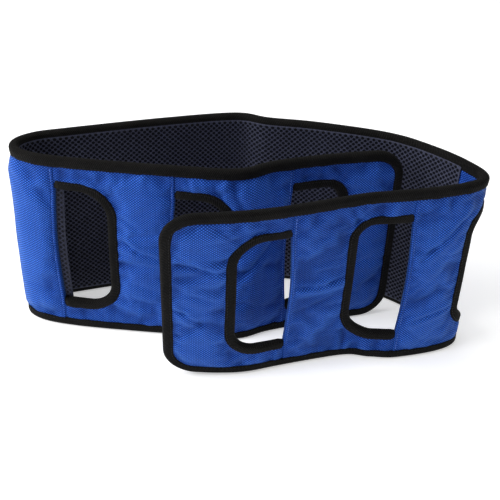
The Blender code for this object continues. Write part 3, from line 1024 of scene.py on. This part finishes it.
def edge_pieces():
    """Each stretch of the belt's outer tape: name, line, panel that it rides on, whether it bends.

    A stretch ends in the middle of a handle panel; one that crosses a seam has its transform baked and is
    parented to no panel.
    """
    half = HANDLE_LENGTH / 2
    edges = {"upper": WIDTH, "lower": 0.0}
    rows = []
    for end in "ab":
        first = f"{end}1"
        line = round_path([(half, 0.0), (0.0, 0.0), (0.0, WIDTH), (half, WIDTH)], [CORNER, CORNER])
        line = np.column_stack([to_s(first, line[:, 0]), line[:, 1]])
        rows.append((f"{first}_end_tape", line, first, False))
        for name in (f"{end}{step}" for step in (1, 2, 3)):
            for edge, z in edges.items():
                line = edge_line(name, half, length_of(name) + half, z)
                rows.append((f"{name}_{edge}_tape", line, name, True))
    for edge, z in edges.items():
        line = edge_line("centre", half, CENTRE_LENGTH - half, z, step=2 * MM)
        rows.append((f"centre_{edge}_tape", line, "centre", False))
    return rows


def cloth_side(line):
    """+1 or -1: on which side of a line in (s, z) the belt's middle lies."""
    middle = len(line) // 2
    into = inward_of(line, 1.0)[middle]
    target = np.array([line[:, 0].mean(), WIDTH / 2])
    if abs(line[middle, 1] - WIDTH / 2) < WIDTH / 4:
        target = np.array([LENGTH / 2, WIDTH / 2])
    return 1.0 if (target - line[middle]) @ into > 0 else -1.0


def tape_rows(line, inward):
    """Stitch rows on both faces of a tape."""
    inner = line + inward * (TAPE_FACE - TAPE_STITCH)
    height = np.full(len(inner), TAPE_EDGE + 0.06 * MM)
    return [(inner, height), (inner, -height)]


def make_edge_tapes(tape, thread):
    for name, line, panel, bends in edge_pieces():
        side = cloth_side(line)
        piece = make_tape(name, line, side, tape, seed=7)
        node = name.replace("_end_tape", "_edge_binding").replace("_tape", "_binding")
        if node in frame["nodes"]:
            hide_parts(node)
        rows = tape_rows(line, inward_of(line, side))
        stitches = make_stitches(name.replace("_tape", "_tape_stitching"), rows, thread)
        for made in (piece, stitches):
            attach(made, panel, bends)


def make_hole_tapes(tape, thread):
    low, high = (WIDTH - HOLE_HEIGHT) / 2, (WIDTH + HOLE_HEIGHT) / 2
    for name in (panel for panel in PANELS if panel in NEXT):
        q0, q1 = length_of(name) - HOLE_WIDTH, length_of(name) + 2.6 * MM
        line = round_path([(q1, low), (q0, low), (q0, high), (q1, high)], HOLE_CORNERS[name])
        line = np.column_stack([to_s(name, line[:, 0]), line[:, 1]])
        middle = len(line) // 2
        outward = to_s(name, 0.0) - to_s(name, 1.0)
        side = 1.0 if inward_of(line, 1.0)[middle][0] * outward > 0 else -1.0
        piece = make_tape(f"{name}_hole_tape", line, side, tape, seed=11, tucked=True)
        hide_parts(f"{name}_hole_binding")
        shown = line[4:-4]
        rows = tape_rows(shown, inward_of(shown, side))
        stitches = make_stitches(f"{name}_hole_stitching", rows, thread)
        for made in (piece, stitches):
            attach(made, name)


def make_hem_stitches(thread):
    """Topstitching down every hem, on both faces."""
    for name, edges in (("a2", [0]), ("a3", [0]), ("centre", [0, 1]), ("b3", [0]), ("b2", [0])):
        rows = []
        for far in edges:
            q = length_of(name) - HEM_STITCH + HEM_LAP if far else HEM_STITCH - HEM_LAP
            z = np.linspace(TAPE_FACE + 1 * MM, WIDTH - TAPE_FACE - 1 * MM, 120)
            line = np.column_stack([np.full(len(z), to_s(name, q)), z])
            height = np.full(len(z), FACE - 0.45 * MM)
            rows.append((line, height))
            if name != "centre":
                rows.append((line, -height))
        stitches = make_stitches(f"{name}_hem_stitching", rows, thread)
        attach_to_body(stitches, BODY[name])


# ---------------------------------------------------------------- camera, floor and light
CAMERA_PLACE = (0.0, -0.796, 0.545)      # in the plan's own numbers
CAMERA_PITCH = 33.93                     # degrees below the horizon
CAMERA_ROLL = 2.63
CAMERA_LENS = 64.8                       # mm on a 36 mm sensor


def add_camera():
    camera = add_object("camera", bpy.data.cameras.new("camera"))
    camera.data.lens, camera.data.sensor_width = CAMERA_LENS, 36.0
    camera.data.clip_start, camera.data.clip_end = 0.05, 20.0
    place = Vector(CAMERA_PLACE) - Vector((*MIDDLE, 0.0))
    turn = Matrix.Rotation(math.radians(90 - CAMERA_PITCH), 4, "X")
    turn = turn @ Matrix.Rotation(math.radians(CAMERA_ROLL), 4, "Z")
    camera.matrix_world = Matrix.Translation(place) @ turn
    bpy.context.scene.camera = camera


def add_light(name, place, target, size, power, colour=(1.0, 1.0, 1.0)):
    data = bpy.data.lights.new(name, "AREA")
    data.shape, data.size, data.energy, data.color = "DISK", size, power, colour
    light = add_object(name, data)
    light.location = place
    aim = Vector(target) - Vector(place)
    light.rotation_euler = aim.to_track_quat("-Z", "Y").to_euler()


def add_studio():
    scene = bpy.context.scene
    scene.view_settings.view_transform = "Standard"
    world = bpy.data.worlds.new("studio")
    scene.world = world
    world.use_nodes = True
    background = world.node_tree.nodes["Background"]
    background.inputs[0].default_value = (1.0, 1.0, 1.0, 1.0)
    background.inputs[1].default_value = 0.28
    add_light("key", (-1.75, -0.5, 1.25), (0, 0, 0.08), 1.5, 48)
    add_light("top", (-0.2, 0.1, 1.8), (0, 0, 0.1), 1.6, 10)
    add_light("right", (1.6, -0.4, 0.9), (0, 0, 0.08), 1.2, 3)
    floor = new_object("floor", [(-6, -6, 0), (6, -6, 0), (6, 6, 0), (-6, 6, 0)], [(0, 1, 2, 3)], [])
    material, shader, _ = new_material("pale_floor", (0.9, 0.9, 0.9), 0.9)
    shader.inputs["Emission Color"].default_value = (1.0, 1.0, 1.0, 1.0)
    shader.inputs["Emission Strength"].default_value = 0.42
    floor.data.materials.append(material)


add_camera()
add_studio()

slack = slack_covers()
# the nylon's low, middle and high colours run from painted shade in the weave's gaps to painted highlight
# on its crowns
nylon = nylon_material("blue_nylon", (0.0003, 0.006, 0.06), (0.0008, 0.032, 0.243), (0.050, 0.172, 0.74))
tape = tape_material()
blue_thread = thread_material("blue_thread", (0.05, 0.15, 0.6), (0.2, 0.38, 1.0))
black_thread = thread_material("black_thread", (0.0015, 0.0015, 0.0015), (0.005, 0.005, 0.005))

make_panels(slack, nylon)
yarn = yarn_material()
# the lining's second material is painted shade inside the holes
lining = mesh_lining([yarn, pit_painted_shade_material(), mesh_back_material(MESH_SPAN[0], MESH_BOTTOM)])
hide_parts("centre_mesh_lining")
folds = mesh_hems(yarn)
for piece in [lining, *folds]:
    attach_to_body(piece, BODY["centre"])
make_edge_tapes(tape, black_thread)
make_hole_tapes(tape, black_thread)
make_hem_stitches(blue_thread)
